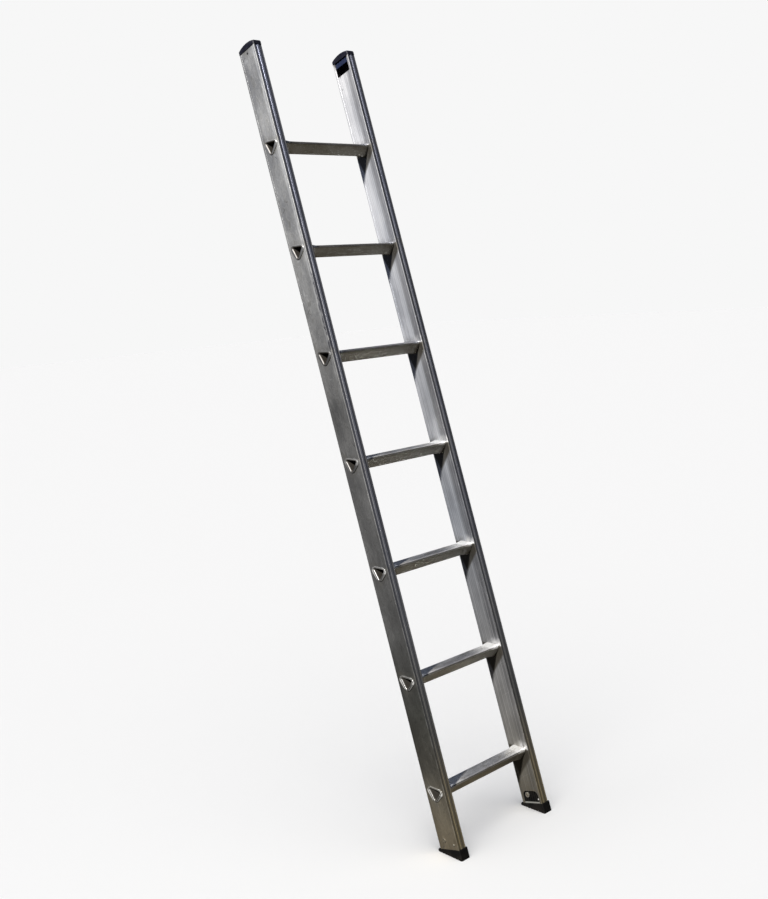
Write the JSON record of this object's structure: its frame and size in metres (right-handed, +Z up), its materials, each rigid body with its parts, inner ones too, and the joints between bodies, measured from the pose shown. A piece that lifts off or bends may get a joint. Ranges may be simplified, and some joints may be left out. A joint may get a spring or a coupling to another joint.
{
  "type": "extension ladder section",
  "caption": "Straight aluminium ladder section: box stiles, swaged triangular rungs with level treads, domed plastic top caps and wedge rubber feet",
  "frame": {"origin": "on the floor, at the middle of the bottom of the bounding box", "axes": "+Z is up. The ladder stands on its level soles and leans back 15 degrees: its stiles climb towards +Z and +Y. X runs along the rungs, with left at -X for a climber, who stands at -Y and faces the wall at +Y."},
  "size_m": [0.343, 0.618, 2.0443],
  "materials": {
    "stile_aluminium": "mill finish extrusion, worn and scratched",
    "rung_aluminium": "mill finish extrusion, dull",
    "cap_plastic": "moulded, satin black",
    "foot_rubber": "moulded, matt black, dusty",
    "rivet_aluminium": "bright blind rivet",
    "zinc_steel": "zinc plated"
  },
  "bodies": {
    "root": {"left_stile": "stile_aluminium", "right_stile": "stile_aluminium", "rung_1": "rung_aluminium", "rung_2": "rung_aluminium", "rung_3": "rung_aluminium", "rung_4": "rung_aluminium", "rung_5": "rung_aluminium", "rung_6": "rung_aluminium", "rung_7": "rung_aluminium", "left_top_cap": "cap_plastic", "left_foot": "foot_rubber", "left_cap_rivet": "rivet_aluminium", "left_outer_foot_rivet": "rivet_aluminium", "left_inner_foot_rivet": "rivet_aluminium", "left_foot_bolt": "zinc_steel", "left_foot_nut": "zinc_steel", "right_top_cap": "cap_plastic", "right_foot": "foot_rubber", "right_cap_rivet": "rivet_aluminium", "right_outer_foot_rivet": "rivet_aluminium", "right_inner_foot_rivet": "rivet_aluminium", "right_foot_bolt": "zinc_steel", "right_foot_nut": "zinc_steel"}
  },
  "joints": []
}
